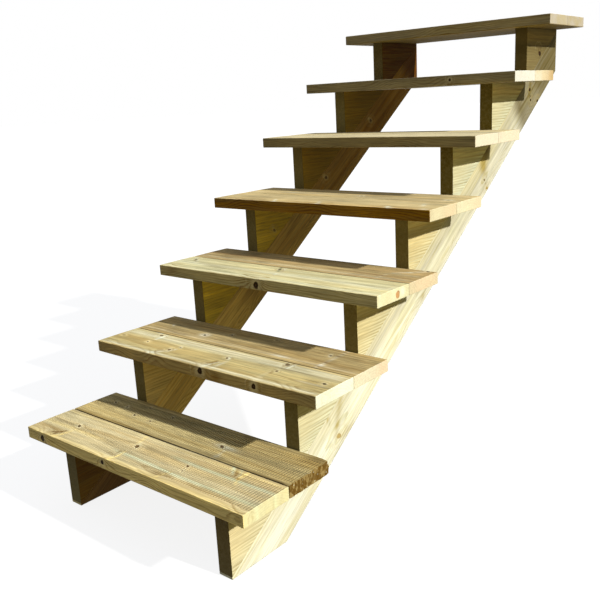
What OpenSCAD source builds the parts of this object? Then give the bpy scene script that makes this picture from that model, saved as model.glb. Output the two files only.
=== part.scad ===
// Open outdoor stair of pressure-treated pine: seven treads, each of two
// boards, on two stringers built up from a sloping plank and glued-on steps.
// The origin lies in the middle of the top tread's rear edge face, where the
// stair stands against its landing. +X runs along the treads, +Y climbs.

/* [Treads] */
// Number of treads
tread_count = 7; // [3:1:9]
// Length of a tread from end to end
tread_length = 800; // [600:10:1200]
// Width of one tread board, front to back
board_w = 145; // [135:1:170]
// Thickness of a tread board
board_t = 32; // [24:1:45]
// Gap between the front board and the back board
board_gap = 3; // [0:0.5:6]
// Radius of the eased long arrises of a tread board
arris_r = 4; // [1:0.5:8]

/* [Stair] */
// Height from one tread to the next
rise = 173; // [150:1:190]
// Distance from one riser face to the next
going = 252; // [235:1:270]
// Clearance between a tread's rear edge and the riser face behind it
riser_gap = 4; // [2:1:20]
// How far the treads stand out past each stringer's outer face
side_overhang = 94; // [20:1:150]

/* [Stringers] */
// Thickness of the stringers
stringer_t = 42; // [30:1:60]
// Width of the sloping plank, square to its slope
plank_w = 110; // [80:1:140]
// How far the glue line lies under the notch corners, measured upright
glue_drop = 4; // [2:0.5:8]
// Height of the plank's upright toe at the ground
toe_h = 6; // [2:1:40]

/* [Anti-slip grooves of the bottom tread] */
// Width of a groove
groove_w = 3.5; // [2:0.5:4]
// Depth of a groove
groove_d = 2; // [1:0.5:4]
// Distance from one groove to the next
groove_pitch = 8; // [6:0.5:12]
// Plain margin along the edge that faces out
groove_outer_margin = 20; // [10:1:30]
// Plain margin along the edge at the gap between the boards
groove_inner_margin = 11; // [8:1:30]

/* [Hidden] */
$fn = 48;
steps = [1 : tread_count];
sides = ["left", "right"];
boards = ["front", "back"];
// Slope of the stair as rise over going, and as an angle
slope = rise / going;
pitch_angle = atan(slope);
// Whole depth of a tread, and how far it stands out in front of its riser face
tread_depth = 2 * board_w + board_gap;
nosing = tread_depth + riser_gap - going;
// Rear edge of the top tread, flush with the stringers' plumb top cut
rear_y = (tread_count - 1) * going + tread_depth;
// Height of the first step's seat above the ground
first_seat = rise + glue_drop + toe_h;
// Height of the top tread's middle, which is where the origin lies
origin_z = first_seat + (tread_count - 1) * rise + board_t / 2;
// Size of the plank, measured upright
plank_h = plank_w / cos(pitch_angle);
// Distance of a stringer's outer face from the middle of the stair
stringer_outer_x = tread_length / 2 - side_overhang;
// Grooves along a board, and where the first one lies
groove_count = floor((tread_length - groove_w) / groove_pitch) + 1;
groove_first_x = -(groove_count - 1) * groove_pitch / 2;
groove_run = board_w - groove_outer_margin - groove_inner_margin;

treated = "#c8b27a";
weathered = "#b79a63";
stringer_wood = "#cdbb84";

// Heights and places in stair coordinates: ground at z = 0, front edge of
// the first tread at y = 0.
function seat_z(i) = first_seat + (i - 1) * rise;
function riser_y(i) = nosing + (i - 1) * going;
function glue_z(y) = toe_h + (y - nosing) * slope;

// Moves what is drawn in stair coordinates to the part's own origin
module to_origin() {
    translate([0, -rear_y, -origin_z]) children();
}

// Extrudes an outline, drawn with y to the right and z up, along +X
module along_x(x, length) {
    translate([x, 0, 0]) rotate([90, 0, 90]) linear_extrude(length) children();
}

// Rectangle with rounded corners
module eased_rectangle(w, h, r) {
    translate([r, 0]) square([w - 2 * r, h]);
    translate([0, r]) square([w, h - 2 * r]);
    for (x = [r, w - r]) for (y = [r, h - r]) translate([x, y]) circle(r);
}

// One planed tread board with its front lower edge at y = 0, z = 0
module plain_board() {
    along_x(-tread_length / 2, tread_length) eased_rectangle(board_w, board_t, arris_r);
}

// Cross grooves, milled from above and stopped short of both long edges
module grooves(front_margin) {
    translate([groove_first_x - groove_w / 2, front_margin, board_t - groove_d])
        linear_extrude(2 * groove_d)
            for (k = [0 : groove_count - 1])
                translate([k * groove_pitch, 0]) square([groove_w, groove_run]);
}

module grooved_board(front_margin) {
    difference() {
        plain_board();
        grooves(front_margin);
    }
}

// The bottom tread's boards are grooved and the others are planed
module tread_front_board(i) {
    color(treated) to_origin() translate([0, (i - 1) * going, seat_z(i)])
        if (i == 1) grooved_board(groove_outer_margin);
        else plain_board();
}

module tread_back_board(i) {
    color(weathered) to_origin()
        translate([0, (i - 1) * going + board_w + board_gap, seat_z(i)])
            if (i == 1) grooved_board(groove_inner_margin);
            else plain_board();
}

function stringer_x(s) = s == "left" ? -stringer_outer_x : stringer_outer_x - stringer_t;

// Straight plank under the steps: flat foot, plumb toe and plumb top cut
module stringer_plank(s) {
    foot_y = nosing + (plank_h - toe_h) / slope;
    color(stringer_wood) to_origin() along_x(stringer_x(s), stringer_t) polygon([
        [nosing, 0],
        [foot_y, 0],
        [rear_y, glue_z(rear_y) - plank_h],
        [rear_y, glue_z(rear_y)],
        [nosing, toe_h]
    ]);
}

// Three-cornered block that makes one step, glued on the plank's upper edge
module step_block(s, i) {
    front = riser_y(i);
    back = min(riser_y(i + 1), rear_y);
    color(stringer_wood) to_origin() along_x(stringer_x(s), stringer_t) polygon([
        [front, glue_z(front)],
        [back, glue_z(back)],
        [back, seat_z(i)],
        [front, seat_z(i)]
    ]);
}

for (i = steps) {
    tread_front_board(i);
    tread_back_board(i);
}
for (s = sides) {
    stringer_plank(s);
    for (i = steps)
        step_block(s, i);
}
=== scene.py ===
# Open outdoor stair of pressure-treated pine: seven treads of two boards each
# on two built-up stringers. Lengths in the dictionaries are in millimetres.
import math

import bpy
import numpy as np
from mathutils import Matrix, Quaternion, Vector


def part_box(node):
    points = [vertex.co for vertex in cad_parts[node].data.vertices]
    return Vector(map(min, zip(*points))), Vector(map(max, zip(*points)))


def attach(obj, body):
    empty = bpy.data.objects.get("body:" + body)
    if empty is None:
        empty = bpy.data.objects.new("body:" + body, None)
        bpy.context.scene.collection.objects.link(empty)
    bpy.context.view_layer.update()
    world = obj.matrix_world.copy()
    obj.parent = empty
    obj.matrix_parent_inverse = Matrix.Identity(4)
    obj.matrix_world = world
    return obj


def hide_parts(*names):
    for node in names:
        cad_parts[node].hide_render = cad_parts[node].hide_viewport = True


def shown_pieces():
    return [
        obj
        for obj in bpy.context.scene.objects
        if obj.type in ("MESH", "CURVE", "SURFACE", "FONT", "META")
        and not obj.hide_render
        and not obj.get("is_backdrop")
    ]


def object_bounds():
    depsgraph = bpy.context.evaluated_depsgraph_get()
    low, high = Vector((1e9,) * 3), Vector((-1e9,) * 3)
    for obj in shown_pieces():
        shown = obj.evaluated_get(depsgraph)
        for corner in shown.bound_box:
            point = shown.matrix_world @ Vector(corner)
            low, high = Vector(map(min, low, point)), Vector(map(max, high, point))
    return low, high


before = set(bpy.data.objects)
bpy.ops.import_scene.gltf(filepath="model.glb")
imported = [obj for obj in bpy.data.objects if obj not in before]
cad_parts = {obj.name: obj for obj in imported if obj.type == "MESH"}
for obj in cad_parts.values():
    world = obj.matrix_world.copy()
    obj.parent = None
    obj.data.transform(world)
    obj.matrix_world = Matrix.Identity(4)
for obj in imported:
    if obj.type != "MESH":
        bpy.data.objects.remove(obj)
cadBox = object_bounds()
mm = 0.001
treadCount = sum(name.endswith("front_board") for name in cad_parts)
print("frame loaded with", len(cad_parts), "nodes and", treadCount, "treads")


camera = dict(place=(1.409, -2.781, -0.209), aim=(0.0, -1.116, -0.780), roll=-3.0, lens=45.8,
              sensor=36)
light = dict(towards=(1.55, 0.18, 1.0), away=5, strength=4.5, spread=1.6,
             colour=(1.0, 0.975, 0.93))
# soft fills in the order they are laid: where each comes from, how squarely a direction
# faces it where it starts and where it is full, and its colour
studio = dict(
    level=(0.158, 0.135, 0.062), backdrop=(1.0, 1.0, 1.0),
    fills=[((1, 0, 0), 0.2, 0.9, (0.415, 0.356, 0.132)),
           ((-0.8, 0.6, 0), 0.15, 0.9, (0.34, 0.33, 0.3)),
           ((0, 0, -1), -0.05, 0.8, (0.02, 0.013, 0.002)),
           ((0, 0, 1), 0.2, 0.95, (0.54, 0.6, 0.75))],
)
floor = dict(reach=60.0, colour=(0.15, 0.15, 0.15), glow=0.87, roughness=0.9)


def aimed(obj, place, direction):
    # stands an object at a place with its -Z axis along a direction
    obj.location = place
    obj.rotation_mode = "QUATERNION"
    obj.rotation_quaternion = direction.to_track_quat("-Z", "Y")
    bpy.context.scene.collection.objects.link(obj)
    return obj


def makeCamera(view):
    data = bpy.data.cameras.new("camera")
    data.sensor_width, data.lens = view["sensor"], view["lens"]
    place = Vector(view["place"])
    made = aimed(bpy.data.objects.new("camera", data), place, Vector(view["aim"]) - place)
    made.rotation_quaternion @= Quaternion((0, 0, 1), math.radians(view["roll"]))
    bpy.context.scene.camera = made


def makeLight(lamp):
    data = bpy.data.lights.new("keyLight", "SUN")
    data.energy, data.angle = lamp["strength"], math.radians(lamp["spread"])
    data.color = lamp["colour"]
    towards = Vector(lamp["towards"]).normalized()
    aimed(bpy.data.objects.new("keyLight", data), towards * lamp["away"], -towards)


def makeFloor(look):
    reach, height = look["reach"], cadBox[0].z
    corners = [(-reach, -reach, height), (reach, -reach, height),
               (reach, reach, height), (-reach, reach, height)]
    mesh = bpy.data.meshes.new("floor")
    mesh.from_pydata(corners, [], [(0, 1, 2, 3)])
    made = bpy.data.objects.new("floor", mesh)
    bpy.context.scene.collection.objects.link(made)
    graph = Graph(bpy.data.materials.new("floor"))
    graph.surface({"Base Color": (*look["colour"], 1), "Roughness": look["roughness"],
                   "Emission Color": (1, 1, 1, 1), "Emission Strength": look["glow"]})
    mesh.materials.append(graph.home)
    made.visible_diffuse = False  # the soft light from below comes from the studio instead
    made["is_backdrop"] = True


def makeStudio(look):
    # soft light from the right, the rear left and high above, dim from below, before a
    # plain pale backdrop
    world = bpy.data.worlds.new("studio")
    graph = Graph(world)
    direction = graph.node("TexCoord", output="Generated")
    tone = (*look["level"], 1)
    for source, start, full, colour in look["fills"]:
        facing = graph.measured("DOT_PRODUCT", direction, source)
        tone = graph.mixed(graph.eased(facing, start, full), tone, (*colour, 1))
    soft = graph.node("Background", (), {"Color": tone})
    seen = graph.node("Background", (), {"Color": (*look["backdrop"], 1)})
    toCamera = graph.node("LightPath", output="Is Camera Ray")
    graph.close("World", graph.node("MixShader", (), {0: toCamera, 1: soft, 2: seen}))
    bpy.context.scene.world = world


class Reading:
    # one output of a shader node; sums and products of readings add Math nodes
    def __init__(self, graph, socket):
        self.graph, self.socket = graph, socket

    def __add__(self, other):
        return self.graph.maths("ADD", self, other)

    def __sub__(self, other):
        return self.graph.maths("SUBTRACT", self, other)

    def __rsub__(self, other):
        return self.graph.maths("SUBTRACT", other, self)

    def __mul__(self, other):
        return self.graph.maths("MULTIPLY", self, other)

    __radd__, __rmul__ = __add__, __mul__


class Graph:
    # writes the nodes of a material or a world
    def __init__(self, home):
        self.home = home
        home.use_nodes = True
        self.tree = home.node_tree
        self.tree.nodes.clear()

    def node(self, kind, settings=(), inputs=(), output=0):
        made = self.tree.nodes.new("ShaderNode" + kind)
        for name, value in dict(settings).items():
            setattr(made, name, value)
        for key, value in dict(inputs).items():
            if isinstance(value, Reading):
                self.tree.links.new(value.socket, made.inputs[key])
            else:
                made.inputs[key].default_value = value
        return Reading(self, made.outputs[output])

    def maths(self, operation, *values):
        return self.node("Math", {"operation": operation}, enumerate(values))

    def attribute(self, name, output="Vector"):
        return self.node("Attribute", {"attribute_name": name}, output=output)

    def part(self, vector, axis):
        return self.node("SeparateXYZ", (), {0: vector}, output=axis)

    def eased(self, value, start, end):
        # 0 at start and 1 at end, with a smooth step between
        return self.node("MapRange", {"interpolation_type": "SMOOTHSTEP"},
                         {"Value": value, "From Min": start, "From Max": end})

    def noise(self, place, stretch, detail=2.0, roughness=0.5):
        # fractal noise, finer along an axis whose stretch is larger
        return self.node("TexNoise", (), {"Vector": self.filtered(place, stretch), "Scale": 1.0,
                                          "Detail": detail, "Roughness": roughness})

    def mixed(self, share, first, second):
        return self.node("Mix", {"data_type": "RGBA"}, {0: share, 6: first, 7: second}, output=2)

    def shaded(self, colour, factor):
        return self.node("VectorMath", {"operation": "SCALE"}, {0: colour, "Scale": factor})

    def filtered(self, colour, factors):
        return self.node("VectorMath", {"operation": "MULTIPLY"}, {0: colour, 1: factors})

    def measured(self, operation, first, second=(0, 0, 0)):
        # a length, distance or dot product
        return self.node("VectorMath", {"operation": operation}, {0: first, 1: second}, "Value")

    def close(self, kind, shader):
        end = self.tree.nodes.new("ShaderNodeOutput" + kind)
        self.tree.links.new(shader.socket, end.inputs["Surface"])

    def surface(self, inputs):
        self.close("Material", self.node("BsdfPrincipled", (), inputs))


def paint(red, green, blue):
    # a colour as seen on a screen, 0 to 255, turned to the linear values that shaders take
    screen = np.array([red, green, blue]) / 255
    linear = np.where(screen < 0.04045, screen / 12.92, ((screen + 0.055) / 1.055) ** 2.4)
    return (*linear.tolist(), 1.0)


stainAndLightChannels = dict(brown=0, pale=1, grey=2)
# noises in the wood: how fine each is along, across and through the grain, its detail and
# its roughness; the wood's value of the same name says how much it shows
grainNoises = dict(
    fibre=((14, 560, 560), 3.0, 0.6), strand=((6, 150, 150), 3.0, 0.65),
    speck=((20, 330, 330), 2.0, 0.6), ribbon=((2.6, 68, 68), 2.0, 0.5),
    band=((1.7, 26, 26), 2.0, 0.5), cloud=((5, 9, 9), 1.0, 0.5),
)
ringShape = dict(strandFray=0.7, ribbonFray=0.5, darkening=(0.35, 0.85), ending=(1.0, 0.92),
                 least=0.45, endCalm=0.65)
# a knot's figure, in knot radii from its middle; each lobe has a height, a count and a shift
knotShape = dict(
    lobes=((0.07, 2.0, 40.0), (0.05, 3.0, 70.0)), strandRag=0.5, fibreRag=0.25,
    core=(1.08, 0.82), rim=0.95, rimWidth=0.24, rimSide=(-0.9, 0.7), dark=(0.9, 0.98),
    # the place and reach of the painted highlight beside a pale knot
    paintedHighlightFrom=(-1.5, 0.9, 0), paintedHighlight=(2.2, 0.6), halo=(3.2, 1.1), rings=9.0, split=(1.0, 0.75),
)


def ringLayer(graph, wood, noises, endGrain):
    # Latewood: each growth ring darkens towards its end and stops sharply. Every ring has
    # a depth of its own, and the fray makes its line uneven.
    fray = (ringShape["strandFray"] * (noises["strand"] - 0.5)
            + ringShape["ribbonFray"] * (noises["ribbon"] - 0.5))
    count = graph.attribute("ringCount", "Fac") + wood["fray"] * fray
    phase = graph.maths("FRACT", count)
    ringTone = graph.node("TexWhiteNoise", {"noise_dimensions": "1D"},
                          {"W": graph.maths("FLOOR", count)})
    least = ringShape["least"]
    latewood = graph.eased(phase, *ringShape["darkening"])
    latewood = latewood * graph.eased(phase, *ringShape["ending"])
    latewood = latewood * (least + (1 - least) * ringTone) * graph.attribute("ringDepth", "Fac")
    return latewood * (1.0 - ringShape["endCalm"] * endGrain)


def knotLayer(graph, wood, noises, colour):
    # Knots over a colour: a halo, a core with rings and splits, and a rim. Those whose
    # strength is close to 1 are dark, and the others are pale with a painted highlight beside them.
    knot = graph.attribute("knotPlace")
    strength = graph.part(knot, 2)
    across = graph.filtered(knot, (1, 1, 0))
    turn = graph.maths("ARCTAN2", graph.part(knot, 1), graph.part(knot, 0))
    lobes = sum(height * graph.maths("SINE", turn * count + strength * shift)
                for height, count, shift in knotShape["lobes"])
    radius = graph.measured("LENGTH", across) * (1.0 + lobes)
    ragged = (radius + knotShape["strandRag"] * (noises["strand"] - 0.5)
              + knotShape["fibreRag"] * (noises["fibre"] - 0.5))
    core = graph.eased(ragged, *knotShape["core"]) * strength
    fromRim = graph.maths("ABSOLUTE", ragged - knotShape["rim"])
    rim = graph.eased(fromRim, knotShape["rimWidth"], 0.0) * strength
    side = graph.part(knot, 0) + 0.8 * (noises["cloud"] - 0.5)
    rim = rim * graph.eased(side, *knotShape["rimSide"])
    dark = graph.eased(strength, *knotShape["dark"])
    # a pale patch to one side of each pale knot: painted highlight
    beside = graph.measured("DISTANCE", across, knotShape["paintedHighlightFrom"])
    paintedHighlight = graph.eased(beside, *knotShape["paintedHighlight"]) * (1.0 - dark) * strength
    halo = graph.eased(ragged, *knotShape["halo"]) * strength * wood["halo"]
    halo = graph.maths("MAXIMUM", halo, paintedHighlight * wood["paintedHighlight"])
    rings = graph.eased(graph.maths("SINE", radius * knotShape["rings"]), -0.9, 1.2)
    star = graph.maths("ABSOLUTE", graph.maths("SINE", turn * 1.5 + 0.7))
    split = graph.eased(star, 0.2, 0.0) * graph.eased(radius, *knotShape["split"]) * strength

    colour = graph.mixed(halo, colour, paint(*wood["haloTone"]))
    darkTone = graph.mixed(rings, paint(*wood["knot"]), paint(*wood["knotLight"]))
    knotTone = graph.mixed(dark, paint(*wood["knotPale"]), darkTone)
    colour = graph.mixed(core, colour, knotTone)
    rimTone = graph.mixed(dark, paint(*wood["rimPale"]), paint(*wood["knotDark"]))
    colour = graph.mixed(graph.maths("MAXIMUM", rim * 0.9, split * 0.7), colour, rimTone)
    return colour, rim, split


def pineMaterial(name, wood):
    # growth rings under fine fibres and broad bands along the grain, with staining, painted
    # light, knots and painted shade over them
    graph = Graph(bpy.data.materials.new(name))
    place, stainAndLight = graph.attribute("grainPlace"), graph.attribute("stainAndLight")
    endGrain = graph.attribute("endGrain", "Fac")
    noises = {label: graph.noise(place, *values) for label, values in grainNoises.items()}
    fibre, strand = noises["fibre"], noises["strand"]
    latewood = ringLayer(graph, wood, noises, endGrain)

    warmth = graph.eased(noises["band"], 0.35, 0.68)
    colour = graph.mixed(warmth, paint(*wood["early"]), paint(*wood["warm"]))
    streaky = 0.8 + 0.4 * strand
    # stained colours, and on many sides painted light and shade, over the wood
    for channel in ("pale", "brown", "grey"):
        share = graph.part(stainAndLight, stainAndLightChannels[channel]) * streaky
        colour = graph.mixed(share, colour, paint(*wood[channel]))
    lateShare = np.array(paint(*wood["late"])[:3]) / np.array(paint(*wood["early"])[:3])
    colour = graph.mixed(latewood, colour, graph.filtered(colour, lateShare.tolist()))
    colour, rim, split = knotLayer(graph, wood, noises, colour)

    if "worn" in wood:
        # a torn end is mottled with lumps and flecks
        lumps = graph.eased(graph.noise(place, (60, 110, 60)), 0.45, 0.6)
        colour = graph.mixed(lumps * endGrain * 0.5, colour, paint(*wood["warm"]))
        flecks = graph.eased(graph.noise(place, (110, 130, 110)), 0.64, 0.73)
        colour = graph.mixed(flecks * endGrain * 0.75, colour, paint(*wood["pale"]))

    # the noises show much less on cut ends
    calm = wood["contrast"] * (1.0 - 0.75 * endGrain)
    tone = 1.0 + calm * sum(wood[label] * (noise - 0.5) for label, noise in noises.items())
    # painted shade of the groove floors and board gaps darkens the colour
    colour = graph.shaded(colour, tone * (1.0 - graph.attribute("paintedShade", "Fac")))

    height = 0.5 * fibre + 0.35 * latewood + 0.3 * strand - 0.8 * split - 0.5 * rim
    normal = graph.node("Bump", (), {"Strength": 0.5, "Distance": wood["relief"] * mm,
                                     "Height": height})
    graph.surface({"Base Color": colour, "Normal": normal,
                   "Roughness": 0.76 - 0.12 * latewood + 0.2 * (fibre - 0.5),
                   "Specular IOR Level": 0.06})
    return graph.home


def latticeNoise(points, seed):
    # random numbers at whole-numbered places, blended by 3t^2 - 2t^3 along each axis; -1 to 1
    repeat = 16
    table = np.random.default_rng(seed).uniform(-1, 1, (repeat, repeat, repeat))
    corner = np.floor(points).astype(int)
    share = points - corner
    share = share * share * (3 - 2 * share)
    total = np.zeros(len(points))
    for step in np.ndindex(2, 2, 2):
        weight = np.prod(np.where(step, share, 1 - share), axis=1)
        total += weight * table[tuple(((corner + step) % repeat).T)]
    return total


def softStep(value, start, end):
    # 0 at start, 1 at end, 3t^2 - 2t^3 between
    share = np.clip((value - start) / (end - start), 0, 1)
    return share * share * (3 - 2 * share)


# A mark goes through the broad faces ("face"), or lies on the top, the inner side, the
# front edge or the far end alone. Two of along, across and depth give its place.
markAxes = dict(face=(0, 1), top=(0, 1), inner=(0, 1), edge=(0, 2), end=(1, 2))
# For each side of the wood: the axis that leads out of it, and the places on that axis
# where a tint on its skin (staining, or painted light or shade) starts and is full.
skinZones = dict(edge=(1, 2.4, 0.6), end=(0, 399.0, 399.5), riser=(0, 0.8, 0.3),
                 top=(2, 29, 31), under=(2, 3, 1), inner=(2, 40.6, 41.4))
# the same for knots and swirls, which reach further into the wood
markZones = dict(edge=(1, 40, 25), end=(0, 370, 385))
# a mark's bell curve in mark sizes, a knot figure's reach in radii, and its slanting oval
markForm = dict(spread=1.6, stretch=1.7, reach=4.0, behind=9, slant=((0.62, -0.53), (0.75, 0.87)))
ringSway = dict(slow=(4, 13, 13), quick=(13, 45, 45), quickShare=0.35, edge=(8, 0, 26))
streakForm = dict(wander=3, waves=6, softEnd=40.0, softShare=0.3)


def faceZone(grain, face, zones=skinZones):
    # 1 at that side of the wood, eased to 0 away from it; 1 everywhere if it isn't listed
    if face not in zones:
        return np.ones(len(grain))
    axis, start, end = zones[face]
    return softStep(grain[:, axis], start * mm, end * mm)


def marksOf(sides):
    # the marks of every side in one list, each with its side's name first
    return [(face, *mark) for face, marks in sides.items() for mark in marks]


def markBell(grain, face, u, v, size):
    # a bell curve about a mark, longer along the grain than across it
    first, second = markAxes[face]
    spread = markForm["spread"] * size
    stretch = 1.0 if face == "end" else markForm["stretch"]
    bell = np.exp(-((grain[:, first] / mm - u) / (spread * stretch)) ** 2
                  - ((grain[:, second] / mm - v) / spread) ** 2)
    return bell * faceZone(grain, face, markZones)


def limbBell(grain, startU, startV, endU, endV, width):
    # a bell curve about the line of a buried branch between two places along and across
    offU, offV = grain[:, 0] / mm - startU, grain[:, 1] / mm - startV
    runU, runV = endU - startU, endV - startV
    share = np.clip((offU * runU + offV * runV) / (runU ** 2 + runV ** 2), 0, 1)
    gap = np.hypot(offU - share * runU, offV - share * runV)
    return np.exp(-(gap / width) ** 2)


def ringFigure(grain, wood):
    # Distance from a leaning pith line, with slow sways, over the ring gap. Each knot,
    # swirl and limb lowers it by a bell curve, which closes the rings around it.
    along, across, depth = grain.T
    pithAcross, pithDepth = np.array(wood["pith"]) * mm
    leanAcross, leanDepth = wood["lean"]
    distance = np.hypot(across - pithAcross - leanAcross * along,
                        depth - pithDepth - leanDepth * along)
    seed = wood["seed"]
    distance += wood["sway"] * mm * latticeNoise(grain * ringSway["slow"], seed)
    quickSway = ringSway["quickShare"] * wood["sway"] * mm
    distance += quickSway * latticeNoise(grain * ringSway["quick"], seed + 1)
    edgeSway = wood["edgeSway"] * mm * latticeNoise(grain * ringSway["edge"], seed + 3)
    distance += edgeSway * faceZone(grain, "edge", markZones)
    knotPulls = [(*knot[:4], knot[3] * wood["knotPull"]) for knot in marksOf(wood["knots"])]
    for *mark, pull in marksOf(wood["swirls"]) + knotPulls:
        distance -= pull * mm * markBell(grain, *mark)
    for *limb, pull, _, _ in wood["limbs"]:
        distance -= pull * mm * limbBell(grain, *limb)
    return distance / (wood["ringGap"] * mm)


def ringStrength(grain, wood):
    # rings stand out more on the front edge and where a knot, swirl or limb bends them
    depth = wood["ringDepth"] + wood["edgeDepth"] * faceZone(grain, "edge")
    for *mark, _ in marksOf(wood["swirls"]) + marksOf(wood["knots"]):
        depth = depth + wood["markDepth"] * markBell(grain, *mark)
    for *limb, _, _, _ in wood["limbs"]:
        depth = depth + wood["markDepth"] * limbBell(grain, *limb)
    return depth * (1 - wood["riserCalm"] * faceZone(grain, "riser"))


def knotFigure(grain, wood):
    # offset from the nearest knot in knot radii, and that knot's strength near it
    offset = np.zeros((len(grain), 3))
    nearest = np.full(len(grain), markForm["reach"])
    (alongU, alongV), (acrossU, acrossV) = markForm["slant"]
    for face, u, v, size, strength in marksOf(wood["knots"]):
        first, second = markAxes[face]
        du, dv = grain[:, first] / mm - u, grain[:, second] / mm - v
        if face == "face":
            # knots of the broad faces are slanting ovals
            du, dv = alongU * du + alongV * dv, acrossU * du + acrossV * dv
        behind = 1 - faceZone(grain, face, markZones)
        reach = np.hypot(du, dv) / size + markForm["behind"] * behind
        closer = reach < nearest
        nearest = np.where(closer, reach, nearest)
        here = np.stack([du / size, dv / size, np.full(len(grain), strength)], 1)
        offset = np.where(closer[:, None], here, offset)
    return offset


def stainAndLightFigure(grain, wood):
    # streaks: a bell curve across the grain with soft ends; patches: an oval bell curve
    stainsAndLight = np.zeros((len(grain), 3))
    wander = latticeNoise(grain * (streakForm["waves"], 0, 0), wood["seed"] + 2)
    wander = streakForm["wander"] * wander

    def lay(channel, amount, face, shape=1.0):
        stainsAndLight[:, stainAndLightChannels[channel]] += amount * shape * faceZone(grain, face)

    for face, channel, start, stop, at, width, amount in marksOf(wood["streaks"]):
        first, second = markAxes[face]
        run, cross = grain[:, first] / mm, grain[:, second] / mm
        soft = min(streakForm["softEnd"], streakForm["softShare"] * (stop - start))
        band = np.exp(-((cross - at - wander) / width) ** 2)
        band = band * softStep(run, start - soft, start + soft)
        lay(channel, amount, face, band * softStep(run, stop + soft, stop - soft))
    for face, channel, u, v, spanU, spanV, amount in marksOf(wood["patches"]):
        first, second = markAxes[face]
        offU, offV = grain[:, first] / mm - u, grain[:, second] / mm - v
        lay(channel, amount, face, np.exp(-((offU / spanU) ** 2 + (offV / spanV) ** 2)))
    for *limb, _, channel, amount in wood["limbs"]:
        lay(channel, amount, wood["limbFace"], limbBell(grain, *limb))
    # whole sides take a tint too; most are painted light and shade: sunlit ends painted paler,
    # shaded fronts, risers and undersides darker, the left stringer's inner side a warm gold
    for face, amounts in wood["faces"].items():
        for channel, amount in amounts.items():
            lay(channel, amount, face)
    return np.clip(stainsAndLight, 0, 1)


def gridLines(low, high, arris, step):
    # even lines between the arrises, and four lines over each arris
    corner = np.array([0.0, 0.3, 0.65, 1.0]) * arris
    count = max(2, round((high - low - 2 * arris) / step) + 1)
    middle = np.linspace(low + arris, high - arris, count)[1:-1]
    return np.concatenate([low + corner, middle, high - corner[::-1]])


def skinOfLines(first, second, third):
    # Every crossing of three sets of lines that lies on the outside of the block, and
    # the quads between them, seen anticlockwise from outside.
    counts = len(first), len(second), len(third)
    places = np.indices(counts)
    last = np.array(counts).reshape(3, 1, 1, 1) - 1
    outside = ((places == 0) | (places == last)).any(axis=0)
    number = np.cumsum(outside.ravel()).reshape(counts) - 1
    i, j, k = (axis[outside] for axis in places)
    points = np.stack([first[i], second[j], third[k]], 1)

    def side(sheet, turned):
        quads = np.stack([sheet[:-1, :-1], sheet[1:, :-1], sheet[1:, 1:], sheet[:-1, 1:]], -1)
        quads = quads.reshape(-1, 4)
        return quads[:, ::-1] if turned else quads

    quads = np.concatenate([
        side(number[:, :, -1], False), side(number[:, :, 0], True),
        side(number[:, 0, :], False), side(number[:, -1, :], True),
        side(number[-1, :, :], False), side(number[0, :, :], True),
    ])
    return points, quads


def roundSection(a, b, lowA, highA, lowB, highB, radius):
    # Square rings about each corner's centre become circles: the offset from the centre
    # is scaled by its larger part over its length.
    centreA = np.clip(a, lowA + radius, highA - radius)
    centreB = np.clip(b, lowB + radius, highB - radius)
    offsetA, offsetB = a - centreA, b - centreB
    length = np.hypot(offsetA, offsetB)
    scale = np.maximum(abs(offsetA), abs(offsetB)) / np.where(length > 0, length, 1)
    scale = np.where(length > 0, scale, 1)
    return centreA + offsetA * scale, centreB + offsetB * scale


def drawIn(value, middle, run, low, high, ease):
    # the section shrinks about its middle over the last ease of the run, by a quarter circle
    left = np.clip(np.minimum(run - low, high - run) / ease, 0, 1)
    inset = ease * (1 - np.sqrt(1 - (1 - left) ** 2))
    half = np.maximum(abs(value - middle).max(), 1e-6)
    return middle + (value - middle) * (1 - inset / half)


pieceForm = dict(sharpAngle=38, endSkin=(0.9, 0.4), seedShift=(0.83, 0.31, 0.17))


def makePiece(name, points, quads, wood, grain, paintedShade, nodeName):
    # a mesh with its figures as attributes, in the place of its CAD node
    mesh = bpy.data.meshes.new(name)
    mesh.vertices.add(len(points))
    mesh.vertices.foreach_set("co", points.astype(np.float32).ravel())
    mesh.loops.add(quads.size)
    mesh.loops.foreach_set("vertex_index", quads.astype(np.int32).ravel())
    mesh.polygons.add(len(quads))
    mesh.polygons.foreach_set("loop_start", np.arange(0, quads.size, 4, dtype=np.int32))
    mesh.polygons.foreach_set("use_smooth", np.ones(len(quads), dtype=bool))
    mesh.update(calc_edges=True)
    mesh.set_sharp_from_angle(angle=math.radians(pieceForm["sharpAngle"]))
    shift = np.array(pieceForm["seedShift"]) * wood["seed"]
    fromEnd = np.minimum(grain[:, 0] - grain[:, 0].min(), grain[:, 0].max() - grain[:, 0])
    cutEnd = softStep(fromEnd / mm, *pieceForm["endSkin"])
    figures = dict(grainPlace=grain + shift, ringCount=ringFigure(grain, wood),
                   ringDepth=ringStrength(grain, wood), endGrain=cutEnd, paintedShade=paintedShade,
                   knotPlace=knotFigure(grain, wood), stainAndLight=stainAndLightFigure(grain, wood))
    for label, values in figures.items():
        kind, field = ("FLOAT", "value") if values.ndim == 1 else ("FLOAT_VECTOR", "vector")
        layer = mesh.attributes.new(label, kind, "POINT")
        layer.data.foreach_set(field, values.astype(np.float32).ravel())
    mesh.materials.append(pineMaterial(name, wood))
    piece = bpy.data.objects.new(name, mesh)
    bpy.context.scene.collection.objects.link(piece)
    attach(piece, "root")
    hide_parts(nodeName)
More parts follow.
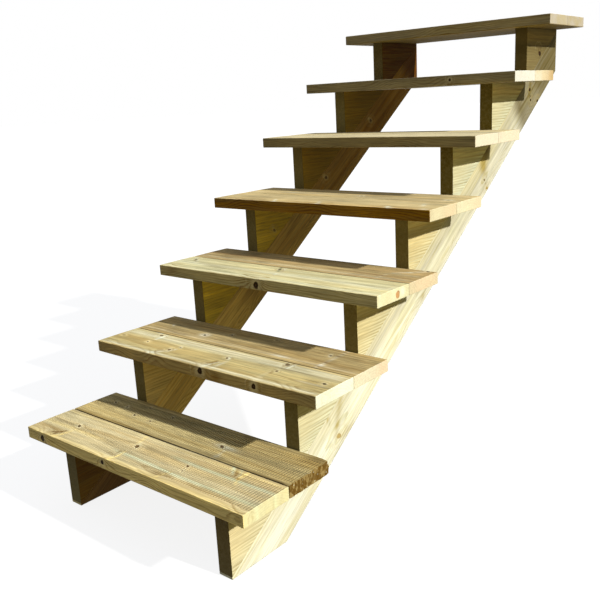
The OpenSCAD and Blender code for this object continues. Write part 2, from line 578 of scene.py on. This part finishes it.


# Colours and figure that a piece has unless its own dictionary says otherwise. Marks are
# listed by the side they are on, and places and sizes are in millimetres:
#   knot: place, radius, strength          swirl: place, size, pull on the rings
#   limb: both ends, width, pull on the rings, tint, amount
#   streak: tint, start and stop along the grain, place across it, width, amount
#   patch: tint, place, half sizes, amount
# A tint is a stained colour of the wood; some streaks and patches are painted light or shade.
pine = dict(
    early=(214, 200, 146), warm=(196, 174, 116), late=(150, 120, 64),
    brown=(120, 88, 22), pale=(228, 230, 204), grey=(126, 122, 106),
    knot=(34, 21, 5), knotLight=(78, 54, 22), knotDark=(19, 11, 3),
    # the last value sets how much the painted highlight beside pale knots shows
    knotPale=(84, 56, 16), rimPale=(42, 26, 6), haloTone=(232, 222, 178), halo=0.35, paintedHighlight=0.5,
    contrast=1.0, fibre=1.1, strand=1.1, speck=0.9, ribbon=0.4, band=0.8, cloud=0.6, relief=0.5,
    pith=(70, -60), lean=(0.0, 0.01), ringGap=7.0, sway=3.0, edgeSway=16.0, fray=1.0,
    ringDepth=0.42, edgeDepth=0.35, markDepth=0.7, knotPull=2.2, riserCalm=0.0,
    knots={}, swirls={}, limbs=[], limbFace="top", streaks={}, patches={}, faces={},
)

# the faces of the gap between the boards are darkened towards the gap: painted shade
boardForm = dict(closedFrom=2, closing=1.0, arris=2.6, steady=0.82, waver=0.18, waves=(9, 60, 90),
                 cell=4.2, crossCell=3.8, sideCell=5.0, endEase=0.9, crown=0.5,
                 gapPaintedShade=0.65, gapEdge=(-2.4, -0.8), gapEnds=(1, 22))
# the groove floors are painted darker: painted shade
grooveForm = dict(width=3.5, depth=2.0, pitch=8.0, wall=0.7, runOut=1.2, clear=2, paintedShade=0.72)


def grooveLines(low, high, form):
    # four lines to each groove: its two lips and the two foot lines of its walls
    width, wall, pitch = (form[key] * mm for key in ("width", "wall", "pitch"))
    count = int((high - low - width) // pitch) + 1
    middles = (low + high) / 2 + (np.arange(count) - (count - 1) / 2) * pitch
    offsets = np.array([-width / 2, -width / 2 + wall, width / 2 - wall, width / 2])
    return middles[:, None] + offsets


def wearCorner(x, y, z, low, high, wood):
    # The far rear corner is knocked round and the end torn rough: both move inwards
    # by a lattice noise, most at the corner.
    worn, places = wood["worn"], np.stack([x, y, z], 1)
    near = softStep(np.hypot(high[0] - x, high[1] - y) / mm, worn["size"], 0)
    lumps = 0.6 + 0.4 * latticeNoise(places * worn["lumps"], wood["seed"] + 7)
    grit = 0.5 + 0.5 * latticeNoise(places * worn["grit"], wood["seed"] + 8)
    atEnd, atRear, atTop = (softStep(value, top - reach * mm, top) for value, top, reach
                            in zip((x, y, z), high, worn["reach"]))
    knock = worn["depth"] * near * lumps * mm
    x = x - (knock + worn["rough"] * grit * mm) * atEnd
    y = y - worn["rearShare"] * knock * atRear
    z = z - worn["topShare"] * knock * atTop
    return x, y, z


def makeBoard(tread, place, wood):
    # A tread board: along is X from the middle of the stair, across is the distance
    # behind the tread's front edge, depth is the height over the board's underside.
    nodeName = f"tread_{tread}_{place}_board"
    low, high = (np.array(corner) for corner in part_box(nodeName))
    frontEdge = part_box(f"tread_{tread}_front_board")[0].y
    wood = {**pine, **wood}
    form, grooves = boardForm, wood.get("grooves")
    arris, ease = form["arris"] * mm, form["endEase"] * mm
    if tread >= form["closedFrom"]:
        # the boards of the upper treads lie closer together
        low[1] -= form["closing"] * mm * (place == "back")
        high[1] += form["closing"] * mm * (place == "front")
    along = gridLines(low[0], high[0], ease, form["cell"] * mm)
    across = gridLines(low[1], high[1], arris, form["crossCell"] * mm)
    upright = gridLines(low[2], high[2], arris, form["sideCell"] * mm)
    if grooves:
        lips = grooveLines(low[0], high[0], grooveForm)
        runOut, clear = grooveForm["runOut"] * mm, grooveForm["clear"] * mm
        margins = np.array([low[1] + grooves[0] * mm, high[1] - grooves[1] * mm])
        along = np.concatenate([along[:4], lips.ravel(), along[-4:]])
        across = across[(abs(across - margins[0]) > clear) & (abs(across - margins[1]) > clear)]
        across = np.sort(np.concatenate([across, margins, margins + (runOut, -runOut)]))
    points, quads = skinOfLines(along, across, upright)
    x, y, z = points.T
    onTop = z > high[2] - 1e-7
    if grooves:
        # 1 on the grooves' foot lines, running out at the margins
        cut = np.isin(x, lips[:, 1:3]) * onTop * softStep(y, margins[0], margins[0] + runOut)
        cut = cut * softStep(y, margins[1], margins[1] - runOut)
    sway = latticeNoise(points * form["waves"], wood["seed"] + 5)
    radius = arris * (form["steady"] + form["waver"] * sway)
    y, z = roundSection(y, z, low[1], high[1], low[2], high[2], radius)
    middle = (low + high) / 2
    y = drawIn(y, middle[1], x, low[0], high[0], ease)
    z = drawIn(z, middle[2], x, low[0], high[0], ease)
    share = (y - middle[1]) / (high[1] - middle[1])
    z = z - form["crown"] * mm * share ** 2 * onTop
    if grooves:
        z = z - grooveForm["depth"] * mm * cut
    grain = np.stack([x, y - frontEdge, z - low[2]], 1)
    if "worn" in wood:
        x, y, z = wearCorner(x, y, z, low, high, wood)
    # the two faces of the gap between the boards are painted darker: painted shade
    gapFace = (y - high[1] if place == "front" else low[1] - y) / mm
    fromEnd = np.minimum(x - low[0], high[0] - x) / mm
    paintedShade = form["gapPaintedShade"] * softStep(gapFace, *form["gapEdge"])
    paintedShade = paintedShade * softStep(fromEnd, *form["gapEnds"])
    # the groove floors are painted darker as well: painted shade
    if grooves:
        paintedShade = np.maximum(paintedShade, grooveForm["paintedShade"] * cut)
    makePiece(f"pine_{nodeName}", np.stack([x, y, z], 1), quads, wood, grain, paintedShade,
              nodeName)


print("making the tread boards")

makeBoard(1, "front", dict(
    seed=3, grooves=(20, 11), early=(208, 195, 151), warm=(195, 175, 125), late=(140, 114, 60),
    # grey here is a gold: golden figure in the limbs and streaks, and painted bounce light on the
    # shaded front edge
    grey=(252, 228, 150), pale=(216, 230, 194), ringGap=6.0, pith=(75, -85), sway=2.2,
    contrast=0.8, edgeDepth=0.1, edgeSway=9.0, markDepth=0.4,
    knots=dict(
        face=[(-282, 82, 5, 0.9), (-47, 88, 6.5, 0.9), (141, 86, 4.5, 0.9), (148, 63, 2.5, 0.8)],
        edge=[(-334, 14, 8.5, 1.0), (-74, 18, 5.5, 1.0)],
    ),
    swirls=dict(
        face=[(-300, 8, 14, 8), (-60, 3, 12, 7)],
        edge=[(95, 2, 20, 22), (385, 22, 12, 14)],
    ),
    limbs=[
        (-272, 50, -276, 24, 4, 0, "grey", 0.7), (-276, 24, -288, 2, 4, 0, "grey", 0.7),
        (-285, 44, -300, 8, 3.5, 4, "brown", 0.45), (-292, 34, -326, 6, 4, 3, "brown", 0.35),
        (-50, 52, -45, 26, 4, 0, "grey", 0.7), (-45, 26, -54, 2, 4, 0, "grey", 0.7),
        (-58, 62, -60, 40, 4, 3, "brown", 0.35), (130, 44, 116, 8, 3, 0, "grey", 0.5),
        (236, 144, 258, 114, 3, 3, "pale", 0.7), (247, 144, 268, 116, 3, 3, "brown", 0.5),
        (262, 144, 276, 120, 3, 0, "pale", 0.5), (284, 145, 283, 108, 4, 0, "grey", 0.9),
        (283, 108, 296, 84, 4, 0, "grey", 0.5), (-72, 140, -58, 96, 4, 0, "grey", 0.5),
    ],
    streaks=dict(face=[
        ("pale", -70, 400, 42, 5, 0.6), ("pale", 80, 400, 101, 5.5, 0.55),
        ("brown", -60, 400, 28, 3, 0.2), ("brown", 100, 400, 120, 8, 0.12),
        ("brown", -400, 400, 68, 3, 0.2), ("brown", -100, 400, 93, 2.5, 0.2),
        ("grey", -400, 400, 8, 6, 0.4), ("grey", -400, 400, 135, 3, 0.35),
        ("grey", -400, -160, 62, 7, 0.4), ("brown", -400, -285, 38, 8, 0.4),
    ]),
    patches=dict(
        face=[("brown", -320, 24, 26, 12, 0.35), ("brown", 105, 22, 20, 12, 0.4)],
        top=[("brown", 262, 128, 18, 14, 0.35), ("pale", 246, 134, 12, 10, 0.3)],
        edge=[("brown", 95, 10, 34, 9, 0.55), ("brown", 380, 14, 14, 12, 0.6),
              ("brown", -336, 14, 26, 14, 0.4), ("brown", 240, 14, 180, 14, 0.25)],
    ),
    # the sunlit end is painted paler (paler end grain and painted highlight); the shaded front edge
    # is painted gold: painted bounce light
    faces=dict(end=dict(grey=0.15, pale=0.35), edge=dict(grey=0.85)),
))
makeBoard(1, "back", dict(
    seed=7, grooves=(11, 20), early=(196, 179, 126), warm=(178, 156, 99), late=(124, 99, 51),
    brown=(96, 70, 20), ringGap=6.0, pith=(215, -70), contrast=1.1,
    knots=dict(face=[
        (133, 206, 5.5, 0.9), (-212, 212, 4, 1.0), (-142, 209, 3, 0.9), (-107, 258, 3.5, 0.9),
        (-215, 270, 3.5, 0.6), (-335, 243, 3.5, 0.9), (-277, 238, 3.5, 0.9),
    ]),
    streaks=dict(face=[("brown", -400, 400, 153, 4, 0.5), ("brown", 150, 480, 225, 90, 0.2)]),
    patches=dict(
        top=[("pale", 150, 207, 34, 8, 0.85), ("grey", 132, 208, 18, 7, 0.6),
             ("pale", 160, 160, 8, 8, 0.5)],
        face=[("brown", 395, 285, 60, 30, 0.4)],
        end=[("brown", 168, 20, 22, 30, 0.95), ("brown", 282, 14, 12, 20, 0.6)],
    ),
    limbs=[(160, 165, 154, 196, 3.5, 0, "pale", 0.4)],
    faces=dict(end=dict(brown=0.75)),
    worn=dict(size=24, depth=4.0, rough=1.8, reach=(8, 12, 4), rearShare=0.8, topShare=0.35,
              lumps=110, grit=230),
))
makeBoard(2, "front", dict(
    seed=11, early=(200, 184, 127), warm=(189, 168, 110), late=(140, 110, 54), pith=(62, -75),
    contrast=0.9, ringDepth=0.36, edgeDepth=0.12, edgeSway=9.0, markDepth=0.25,
    knots=dict(
        face=[(-273, 130, 6.5, 0.75), (-261, 69, 3.5, 0.9), (-377, 76, 5, 0.4),
              (-150, 52, 5, 0.8), (-137, 82, 3, 0.6), (38, 86, 4, 0.9), (208, 130, 7.5, 0.75),
              (216, 80, 4.5, 0.8), (369, 73, 4.5, 1.0)],
        edge=[(24, 20, 9, 1.0), (210, 17, 7, 1.0)],
    ),
    swirls=dict(edge=[(-310, 16, 16, 12), (-150, 20, 14, 10), (340, 16, 20, 12)]),
    limbs=[
        (-257, 136, -258, 96, 3.5, 0, "pale", 0.8), (-284, 144, -302, 146, 5, 0, "pale", 0.6),
        (-136, 64, -144, 38, 3.5, 0, "pale", 0.55), (-158, 50, -146, 62, 3, 3, "brown", 0.4),
        (-158, 36, -184, 8, 9, 0, "pale", 0.45), (40, 96, 50, 78, 3, 0, "pale", 0.7),
        (42, 50, 30, 22, 4, 3, "pale", 0.6), (30, 22, 27, 4, 5, 0, "pale", 0.65),
        (34, 54, 22, 22, 5, 4, "brown", 0.5), (200, 144, 208, 114, 3.5, 3, "brown", 0.7),
        (217, 144, 219, 112, 3.5, 3, "brown", 0.5), (225, 140, 224, 108, 3.5, 0, "pale", 0.6),
        (206, 88, 212, 60, 3, 3, "brown", 0.4), (-142, 88, -132, 78, 3, 0, "pale", 0.5),
    ],
    streaks=dict(face=[
        ("pale", -400, 400, 114, 18, 0.42), ("pale", -400, 400, 11, 7, 0.45),
        ("brown", -400, 400, 50, 24, 0.12), ("pale", -260, 400, 130, 5, 0.25),
        ("brown", -400, 400, 21, 2.5, 0.2), ("pale", 300, 380, 55, 4, 0.4),
    ]),
    patches=dict(
        top=[("pale", 57, 40, 6, 26, 0.5), ("pale", 205, 40, 6, 30, 0.15)],
        edge=[("brown", 30, 16, 26, 18, 0.3), ("brown", 80, 14, 20, 14, 0.4),
              ("brown", 210, 16, 22, 16, 0.3)],
    ),
    # the sunlit end is painted paler (paler end grain and painted highlight); the shaded front edge
    # is painted browner: painted shade
    faces=dict(end=dict(pale=0.95), edge=dict(brown=0.4)),
))
makeBoard(2, "back", dict(
    seed=13, early=(190, 169, 117), warm=(170, 145, 92), late=(130, 102, 55), pith=(220, -65),
    contrast=1.15, pale=(234, 230, 204), brown=(226, 194, 158),
    knots=dict(face=[
        (-163, 198, 4.5, 1.0), (-92, 238, 3.5, 0.9), (52, 268, 5, 0.5), (260, 240, 4, 0.9),
    ]),
    limbs=[
        (254, 248, 264, 232, 3, 0, "pale", 0.8), (-326, 224, -316, 214, 3, 0, "pale", 0.6),
        (281, 150, 281, 290, 6, 0, "pale", 0.3),
    ],
    streaks=dict(top=[("pale", -400, 400, 168, 4, 0.25), ("grey", -400, 400, 180, 3, 0.3)]),
    patches=dict(
        top=[("pale", -163, 198, 16, 13, 1.0), ("pale", 283, 172, 8, 8, 0.6),
             ("pale", 148, 170, 26, 5, 0.7)],
        end=[("brown", 276, 17, 34, 40, 0.65)],
    ),
    # the sunlit end is painted paler: paler end grain and painted highlight
    faces=dict(end=dict(pale=0.65)),
))
makeBoard(3, "front", dict(
    seed=17, early=(214, 207, 158), warm=(205, 194, 143), late=(168, 148, 92),
    grey=(112, 112, 78), knotPale=(190, 134, 76), rimPale=(144, 94, 46), pith=(80, -90),
    contrast=0.9,
    knots=dict(
        edge=[(0, 14, 9.5, 1.0)],
        end=[(92, 15, 9, 0.85)],
        face=[(-15, 120, 4.5, 1.0), (-353, 109, 3.5, 1.0)],
    ),
    swirls=dict(edge=[(-352, 18, 18, 12), (-40, 24, 12, 8), (0, 14, 22, 8)]),
    limbs=[
        (-28, 142, -14, 118, 4, 0, "grey", 0.8), (-14, 118, -2, 98, 5, 4, "grey", 0.9),
        (-6, 136, 14, 92, 3.5, 0, "pale", 0.7), (12, 76, 18, 54, 3.5, 0, "pale", 0.6),
        (-362, 118, -346, 100, 4.5, 3, "grey", 0.7), (-342, 108, -328, 82, 3.5, 0, "pale", 0.7),
        (-376, 140, -366, 116, 6, 0, "pale", 0.4),
    ],
    streaks=dict(
        face=[("pale", -400, 400, 75, 14, 0.3), ("pale", -400, 400, 14, 6, 0.35),
              ("grey", -400, 400, 138, 4, 0.15)],
        edge=[("grey", -400, 400, 14, 40, 0.12)],
    ),
    patches=dict(
        face=[("brown", -360, 43, 28, 10, 0.25)],
        end=[("pale", 114, 18, 10, 11, 0.9)],
        edge=[("brown", -345, 17, 22, 14, 0.25), ("brown", 0, 12, 20, 14, 0.3)],
    ),
    # the sunlit end is painted paler (paler end grain and painted highlight); the shaded front edge
    # is painted browner: painted shade
    faces=dict(end=dict(pale=0.3), edge=dict(brown=0.35)),
))
makeBoard(3, "back", dict(
    seed=19, early=(188, 167, 116), warm=(172, 146, 98), late=(134, 104, 58), pith=(225, -60),
    contrast=1.3, brown=(226, 192, 156), pale=(230, 228, 196), grey=(124, 98, 50),
    knots=dict(face=[(374, 286, 5, 0.9), (-65, 240, 4, 0.9), (17, 290, 4, 0.8)]),
    limbs=[
        (300, 228, 340, 256, 6, 0, "pale", 0.5), (340, 256, 372, 284, 8, 0, "pale", 0.5),
        (302, 222, 385, 218, 3.5, 0, "pale", 0.4), (292, 216, 288, 160, 4, 0, "pale", 0.3),
    ],
    streaks=dict(top=[("pale", -400, 400, 170, 8, 0.25)]),
    patches=dict(end=[("brown", 225, 17, 62, 40, 0.5)], top=[("grey", -280, 220, 120, 90, 0.15)]),
    # the sunlit end is painted paler: paler end grain and painted highlight
    faces=dict(end=dict(pale=0.5)),
))
makeBoard(4, "front", dict(
    seed=23, early=(206, 188, 138), warm=(190, 166, 112), late=(148, 116, 62), pith=(66, -70),
    brown=(130, 92, 0), grey=(226, 198, 160), contrast=0.9, edgeDepth=0.1, edgeSway=9.0,
    swirls=dict(edge=[(20, 10, 24, 10), (290, 12, 30, 10), (-260, 22, 26, 10)]),
    limbs=[
        (-168, 40, -145, 6, 5, 0, "pale", 0.6), (-108, 66, -98, 54, 4, 0, "pale", 0.4),
        (-4, 56, 24, 8, 6, 0, "pale", 0.4), (256, 24, 272, 4, 8, 0, "pale", 0.9),
        (326, 100, 344, 62, 7, 0, "pale", 0.4),
    ],
    patches=dict(
        top=[("pale", -145, 5, 10, 4, 0.9), ("pale", 20, 5, 12, 4, 0.6),
             ("pale", 277, 5, 15, 4, 0.9), ("pale", 375, 12, 14, 8, 0.5)],
        end=[("grey", 112, 17, 32, 40, 0.6)],
    ),
    # the shaded front edge is painted deep brown, painted shade over a browner front; the sunlit
    # end is painted paler: paler end grain and painted highlight
    faces=dict(edge=dict(brown=0.96), end=dict(pale=0.4)),
))
makeBoard(4, "back", dict(
    seed=29, early=(210, 192, 144), warm=(194, 172, 118), late=(152, 124, 70), pith=(218, -80),
    contrast=1.2, brown=(226, 196, 160),
    knots=dict(face=[(52, 190, 5, 0.9), (-315, 238, 4, 0.7), (352, 185, 5, 0.5)]),
    patches=dict(
        face=[("pale", 52, 190, 16, 10, 0.6), ("pale", -232, 198, 30, 6, 0.5),
              ("pale", 352, 185, 14, 9, 0.6)],
        end=[("brown", 276, 17, 32, 40, 0.6)],
    ),
    # the sunlit end is painted paler: paler end grain and painted highlight
    faces=dict(end=dict(pale=0.5)),
))

# brown darkens the shaded front edges (painted shade); grey shows only on the top tread's ends, as
# painted shadow; the ends are painted paler: paler end grain and painted highlight
upperFront = dict(
    warm=(204, 189, 144), brown=(122, 106, 58), pale=(226, 217, 196), grey=(128, 124, 124),
    ringGap=4.5, sway=4.0, pith=(70, -70), contrast=0.85, edgeDepth=0.12, edgeSway=9.0,
    markDepth=0.3, faces=dict(edge=dict(brown=0.75), end=dict(pale=0.75)),
)
# the sunlit ends are painted paler: paler end grain and painted highlight
upperBack = dict(
    warm=(202, 186, 138), brown=(190, 162, 112), pale=(226, 217, 196), grey=(128, 124, 124),
    pith=(220, -75), faces=dict(end=dict(pale=0.7)),
)
upperTreads = {
    5: dict(early=(213, 201, 161), front=dict(seed=31), back=dict(seed=33)),
    6: dict(
        early=(216, 207, 178),
        # a whiter end: paler end grain and painted highlight
        front=dict(seed=41, pale=(222, 223, 216), knots=dict(edge=[(182, 17, 4.5, 1.0)])),
        # the back board's sunlit end is painted paler: paler end grain and painted highlight
        back=dict(seed=43, patches=dict(end=[("brown", 290, 17, 58, 60, 0.95)]),
                  faces=dict(end=dict(pale=0.4))),
    ),
    7: dict(
        early=(214, 204, 182),
        # on both boards the ends are painted grey (painted shadow), the undersides a dark olive
        # (painted shade), and the front edge browner (painted shade)
        front=dict(seed=53, pale=(150, 126, 40),
                   faces=dict(edge=dict(brown=0.75), end=dict(grey=0.38), under=dict(pale=0.95))),
        back=dict(seed=55, pale=(150, 126, 40),
                  faces=dict(end=dict(grey=0.42), under=dict(pale=0.95))),
    ),
}
for tread, own in upperTreads.items():
    swirls = dict(edge=[(-250 + 40 * tread, 12, 30, 12), (160, 16, 24, 12)])
    makeBoard(tread, "front", dict(upperFront, early=own["early"], swirls=swirls, **own["front"]))
    makeBoard(tread, "back", dict(upperBack, early=own["early"], **own["back"]))


stringerForm = dict(plankWidth=110, arris=1.6, thinShare=0.4, cell=7.0, crossCell=6.0,
                    thickCell=9.0, endEase=0.8)


def makeStringerPiece(nodeName, wood, lowerEdge, upperEdge, extraLines, grainOf):
    # A sawn piece whose section stands upright between two edge lines along Y
    low, high = (np.array(corner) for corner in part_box(nodeName))
    wood = {**pine, **wood}
    form = stringerForm
    arris, ease = form["arris"] * mm, form["endEase"] * mm
    tallest = max(upperEdge(y) - lowerEdge(y) for y in (low[1], high[1], *extraLines))
    along = gridLines(low[1], high[1], ease, form["cell"] * mm)
    along = np.sort(np.concatenate([along, extraLines]))
    across = gridLines(low[0], high[0], arris, form["thickCell"] * mm)
    share = gridLines(0, tallest, arris, form["crossCell"] * mm) / tallest
    points, quads = skinOfLines(along, across, share)
    y, x, share = points.T
    bottom, top = lowerEdge(y), upperEdge(y)
    z = bottom + share * (top - bottom)
    radius = np.minimum(arris, form["thinShare"] * (top - bottom))
    x, z = roundSection(x, z, low[0], high[0], bottom, top, radius)
    x = drawIn(x, (low[0] + high[0]) / 2, y, low[1], high[1], ease)
    points = np.stack([x, y, z], 1)
    makePiece(f"pine_{nodeName}", points, quads[:, ::-1], wood, grainOf(points, low, high),
              np.zeros(len(points)), nodeName)


def stringerLines(side):
    # the slope, the plank's upper and lower edge lines, and where its level foot ends at
    # the rear, read from the frame
    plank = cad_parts[f"{side}_stringer_plank"]
    corners = np.array([vertex.co for vertex in plank.data.vertices])
    first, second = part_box(f"{side}_step_block_1")[0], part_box(f"{side}_step_block_2")[0]
    slope = (second.z - first.z) / (second.y - first.y)
    atRear = corners[corners[:, 1] > corners[:, 1].max() - 1e-5]
    tall = atRear[:, 2].max() - atRear[:, 2].min()
    ground = corners[:, 2].min()
    footBack = first.y + (ground + tall - first.z) / slope

    def glueLine(y):
        return first.z + (y - first.y) * slope

    def lowerLine(y):
        return np.maximum(ground, glueLine(y) - tall)

    return slope, glueLine, lowerLine, footBack


plankWood = dict(
    right=dict(
        seed=61, early=(220, 218, 199), warm=(212, 208, 178), late=(180, 174, 110), ringGap=5.0,
        pale=(231, 231, 209), brown=(173, 154, 86), grey=(100, 88, 50), knotPale=(172, 144, 72),
        rimPale=(130, 98, 36), haloTone=(204, 182, 100), knotPull=0.5,
        knot=(40, 24, 6), knotLight=(66, 42, 14), halo=0.15, paintedHighlight=0.2, markDepth=0.1,
        pith=(52, -55), sway=2.0, contrast=0.55, ribbon=0.5, ringDepth=0.35, limbFace="face",
        knots=dict(face=[
            (441, 31, 7.5, 0.8), (1422, 42, 4, 0.95), (1422, 8, 5, 0.9), (1846, 75, 6.5, 1.0),
            (1834, 42, 4.5, 1.0), (1878, 6, 6, 1.0),
        ]),
        swirls=dict(face=[(441, 50, 24, 6), (935, 30, 14, 5), (1427, 40, 14, 5)]),
        streaks=dict(face=[
            ("brown", 0, 2200, 104, 3, 0.25), ("pale", 0, 700, 54, 24, 0.5),
            ("brown", 0, 340, 24, 2.5, 0.35), ("brown", 0, 340, 10, 9, 0.15),
            ("brown", 0, 700, 90, 10, 0.12), ("pale", 640, 960, 36, 5, 0.7),
            ("pale", 640, 960, 61, 5, 0.6), ("brown", 640, 1750, 90, 24, 0.22),
            ("grey", 640, 1750, 84, 26, 0.13), ("brown", 640, 1750, 47, 6, 0.18),
            ("pale", 1000, 1300, 52, 8, 0.6), ("brown", 640, 1750, 24, 9, 0.2),
            ("brown", 1000, 1400, 74, 2, 0.3), ("grey", 1300, 2300, 66, 2.5, 0.24),
            # the wide grey streaks from 1722 and from 1905 darken the plank's upper end: painted
            # shadow of something outside the stair
            ("grey", 900, 1750, 55, 80, 0.1), ("grey", 1722, 2300, 55, 240, 0.82),
            ("grey", 1905, 2300, 50, 240, 0.13), ("grey", 1880, 2300, 101, 3, 0.15),
            ("pale", 1880, 2300, 109, 2.5, 0.35), ("grey", 1760, 2300, 82, 2, 0.15),
            ("grey", 1880, 2300, 44, 3, 0.15), ("pale", 1900, 2300, 60, 3, 0.08),
        ]),
        limbs=[
            (460, 64, 508, 106, 11, 0, "brown", 0.42), (454, 20, 494, 2, 11, 0, "brown", 0.42),
            (434, 38, 448, 56, 9, 0, "brown", 0.35), (441, 104, 444, 108, 3.5, 0, "brown", 1.0),
            (452, 30, 466, 24, 3, 0, "pale", 0.8), (490, 47, 562, 50, 3, 0, "brown", 0.3),
            (438, 88, 440, 98, 5, 0, "grey", 0.26), (1856, 44, 1902, 14, 6, 0, "pale", 0.5),
            (1395, 44, 1416, 40, 3, 0, "brown", 0.4), (1834, 64, 1860, 88, 6, 0, "grey", 0.8),
        ],
        patches=dict(face=[
            ("brown", 456, 60, 10, 8, 0.5), ("brown", 944, 17, 11, 8, 0.6),
            ("grey", 926, 50, 4, 9, 0.38), ("brown", 1440, 80, 20, 26, 0.9),
            # the grey patch at 1486 darkens the wood inside a tread's shadow: painted shade
            ("brown", 1474, 102, 30, 18, 0.9), ("grey", 1486, 108, 24, 14, 0.78),
            ("pale", 1450, 30, 12, 14, 0.7), ("pale", 1812, 94, 18, 16, 0.5),
            ("brown", 1422, 10, 8, 6, 0.6),
        ]),
    ),
    # On the inner side, which lies in shade, pale is a warm gold: painted bounce light. The brown
    # streaks darken it further up the stair: painted shade. The near black grey streak at the top
    # is painted shadow over a sunlit sliver; another darkens the inner side at the foot.
    left=dict(
        seed=67, early=(218, 206, 160), warm=(204, 190, 136), late=(166, 140, 74), ringGap=6.0,
        pale=(240, 208, 128), brown=(140, 98, 0), grey=(80, 37, 0), contrast=0.8, ringDepth=0.5,
        pith=(60, -50), sway=2.4, faces=dict(inner=dict(pale=0.9)),
        knots=dict(face=[(1360, 88, 6, 0.8), (1700, 76, 6, 0.8)]),
        streaks=dict(
            face=[("brown", 0, 2200, 38, 8, 0.2), ("brown", 0, 2200, 74, 6, 0.15)],
            inner=[("brown", 810, 2400, 55, 300, 0.3), ("brown", 1250, 2400, 55, 300, 0.42),
                   ("brown", 1640, 2400, 55, 300, 0.15), ("grey", 2000, 2400, 55, 300, 0.8),
                   ("grey", -200, 300, 55, 300, 0.85)],
        ),
    ),
)
# a block's grey colours its riser face under the tread above: painted shade
blockWood = dict(
    right=dict(seed=71, early=(207, 191, 137), warm=(197, 178, 121), late=(172, 148, 92),
               pale=(208, 211, 182), grey=(98, 84, 28), ringDepth=0.5, limbFace="face",
               limbs=[(0, 0, 290, 199, 36, 0, "pale", 0.35)]),
    # pale is a warm gold for the shaded inner side (painted bounce light), and brown darkens it
    # (painted shade)
    left=dict(seed=91, early=(210, 194, 142), warm=(200, 181, 124), late=(152, 124, 58),
              pale=(244, 216, 76), contrast=0.8, ringDepth=0.4,
              brown=(108, 72, 0), grey=(90, 80, 40)),
)
blockFigure = dict(ringGap=6.5, sway=6.0, pith=(200, -60), edgeDepth=0.0, contrast=0.5,
                   ribbon=0.3, fray=0.6, riserCalm=0.5)
# riser faces under the treads are painted darker: painted shade
riserPaintedShade = dict(grey=0.85)
# the tint over the side that shows, from the lowest block up: a stained tone on the right blocks'
# outer side; on the left blocks' shaded inner side painted bounce light (gold) and painted shade
# (brown)
blockStainAndLight = dict(
    right=[dict(pale=0.5), dict(pale=0.45), dict(pale=0.14, brown=0.04), dict(brown=0.1, pale=0.06),
           dict(pale=0.6, grey=0.1), dict(pale=0.5, grey=0.12), {}],
    left=[dict(pale=0.95, brown=brown) for brown in (0.92, 0, 0.2, 0.3, 0.77, 0.8, 0.95)],
)
# what single blocks have of their own
blockOwn = dict(
    # block 1's grey darkens its riser face further: painted shade
    right={1: dict(early=(210, 187, 129), warm=(200, 174, 113), pale=(212, 206, 168),
                   grey=(92, 73, 2), ringDepth=0.35,
                   patches=dict(face=[("brown", 20, 24, 18, 5, 0.3)])),
           # the bright streak at the top of blocks 3 to 6 lightens the shadow of the tread above:
           # painted light
           3: dict(brown=(254, 238, 176), streaks=dict(face=[("brown", -60, 400, 156, 15, 0.8)])),
           4: dict(early=(194, 178, 127), warm=(185, 166, 112), brown=(254, 240, 178),
                   streaks=dict(face=[("brown", -60, 400, 156, 15, 0.95)])),
           5: dict(brown=(248, 238, 180), streaks=dict(face=[("brown", -60, 400, 150, 22, 0.7)])),
           6: dict(brown=(250, 228, 164), streaks=dict(face=[("brown", -60, 400, 154, 18, 0.75)])),
           # block 7's dark colours paint the shadow of something outside the stair (painted
           # shadow); its pale streak lightens the tread's shadow (painted light), its grey streak
           # darkens the wood below that shadow's edge (painted shade)
           7: dict(early=(126, 115, 74), warm=(118, 105, 66), late=(98, 82, 46), halo=0.0, limbs=[],
                   pale=(172, 150, 90), grey=(84, 72, 36), knot=(34, 20, 6), knotLight=(60, 40, 16),
                   knots=dict(face=[(105, 96, 9, 1.0)]),
                   streaks=dict(face=[
                       ("pale", -60, 400, 150, 20, 0.9), ("grey", -60, 400, 108, 12, 0.35),
                   ]))},
    # the left blocks' own browns and greys darken their shaded inner side and riser: painted shade
    left={1: dict(brown=(100, 62, 0)), 2: dict(pale=(244, 216, 142)),
          4: dict(knots=dict(face=[(87, 91, 5, 0.6)])),
          7: dict(brown=(90, 50, 0), grey=(62, 48, 2))},
)


def makeStringer(side):
    slope, glueLine, lowerLine, footBack = stringerLines(side)
    angle = math.atan(slope)

    def plankGrain(points, low, high):
        # along the slope from the toe, across from the plank's lower edge, depth from the inside
        run, rise = points[:, 1] - low[1], points[:, 2] - glueLine(low[1])
        along = run * math.cos(angle) + rise * math.sin(angle)
        across = stringerForm["plankWidth"] * mm
        across = across + rise * math.cos(angle) - run * math.sin(angle)
        return np.stack([along, across, points[:, 0] - low[0]], 1)

    def blockGrain(points, low, high):
        # the grain of the steps runs level, square to the riser face
        return np.stack([points[:, 1] - low[1], points[:, 2] - low[2], points[:, 0] - low[0]], 1)

    makeStringerPiece(f"{side}_stringer_plank", plankWood[side], lowerLine, glueLine,
                      [footBack], plankGrain)
    shownSide = "inner" if side == "left" else "face"
    for step in range(1, treadCount + 1):
        nodeName = f"{side}_step_block_{step}"
        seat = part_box(nodeName)[1].z
        wood = {**blockFigure, **blockWood[side], **blockOwn[side].get(step, {})}
        wood["seed"] += step
        wood["faces"] = {shownSide: blockStainAndLight[side][step - 1], "riser": riserPaintedShade}
        makeStringerPiece(nodeName, wood, glueLine, lambda y, seat=seat: seat + 0 * y, [],
                          blockGrain)


print("making the stringers")
for side in ("right", "left"):
    makeStringer(side)


print("setting the stage")
makeFloor(floor)
makeLight(light)
makeCamera(camera)
makeStudio(studio)
bpy.context.scene.view_settings.view_transform = "Standard"

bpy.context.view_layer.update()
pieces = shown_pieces()
print("pieces:", len(pieces), "quads:", sum(len(piece.data.polygons) for piece in pieces))
